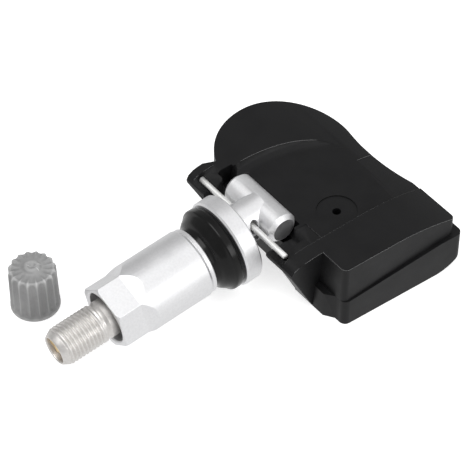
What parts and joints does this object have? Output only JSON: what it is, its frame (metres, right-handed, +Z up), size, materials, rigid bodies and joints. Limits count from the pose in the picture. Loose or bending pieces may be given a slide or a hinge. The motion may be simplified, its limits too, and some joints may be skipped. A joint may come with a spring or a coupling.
{
  "type": "tyre pressure sensor",
  "caption": "Wheel-mounted tyre pressure sensor: black sealed housing with a swivelling clamp-in metal valve, nut, rubber grommet and a loose valve cap.",
  "frame": {"origin": "on the flat underside of the base, straight below the middle of the crossbar on which the valve swivels, at the base's front edge", "axes": "+X along the crossbar towards the box end of the housing, +Y away from the valve's tip, +Z up out of the base"},
  "size_m": [0.0479, 0.0776, 0.0186],
  "materials": {
    "housing_plastic": "fine matte moulded black",
    "board_laminate": "green laminate",
    "steel_can": "bright",
    "steel_strip": "bright",
    "chip_plastic": "matte",
    "soft_rubber": "smooth black rubber",
    "ferrite": "matte grey ferrite",
    "copper_wire": "enamelled copper wire",
    "ceramic": "matte ceramic",
    "brass": "turned",
    "wire_steel": "bright drawn wire",
    "aluminium": "satin turned",
    "washer_metal": "satin",
    "white_plastic": "smooth",
    "cap_plastic": "satin grey"
  },
  "bodies": {
    "housing": {"upper_housing": "housing_plastic", "base_cover": "housing_plastic", "circuit_board": "board_laminate", "battery_cell": "steel_can", "battery_tab_top": "steel_strip", "battery_tab_bottom": "steel_strip", "sensor_chip": "chip_plastic", "port_gasket": "soft_rubber", "radio_crystal": "steel_can", "coil_core": "ferrite", "coil_winding": "copper_wire", "board_capacitors": "ceramic", "antenna_loop": "brass", "retaining_wire": "wire_steel", "valve_cap": "cap_plastic", "cap_seal": "soft_rubber"},
    "valve": {"valve_stem": "aluminium", "grommet": "soft_rubber", "core_barrel": "brass", "core_ring": "white_plastic", "core_spring": "wire_steel"},
    "washer": {"thrust_washer": "washer_metal"},
    "nut": {"clamp_nut": "aluminium"},
    "core_pin": {"core_pin": "brass", "core_seal": "soft_rubber"}
  },
  "joints": [
    {"name": "valve_swivel", "type": "hinge", "parent": "housing", "child": "valve", "pos_m": [0, 0, 0.013], "axis": [1, 0, 0], "range_deg": [-10, 10]},
    {"name": "core_pin_press", "type": "slide", "parent": "valve", "child": "core_pin", "axis": [0, 0.9962, 0.0872], "range_m": [0, 0.0012], "stiffness_N_per_m": 1500, "springref_m": -0.0005, "deforming": ["core_spring"]},
    {"name": "nut_travel", "type": "slide", "parent": "valve", "child": "washer", "axis": [0, -0.9962, -0.0872], "range_m": [0, 0.00397]},
    {"name": "nut_turn", "type": "hinge", "parent": "washer", "child": "nut", "pos_m": [0, -0.02964, 0.0076], "axis": [0, -0.9962, -0.0872], "range_deg": [0, 1800]}
  ],
  "couplings": [
    {"joint": "nut_turn", "follows": "nut_travel", "rad_per_m": 7913.3}
  ]
}
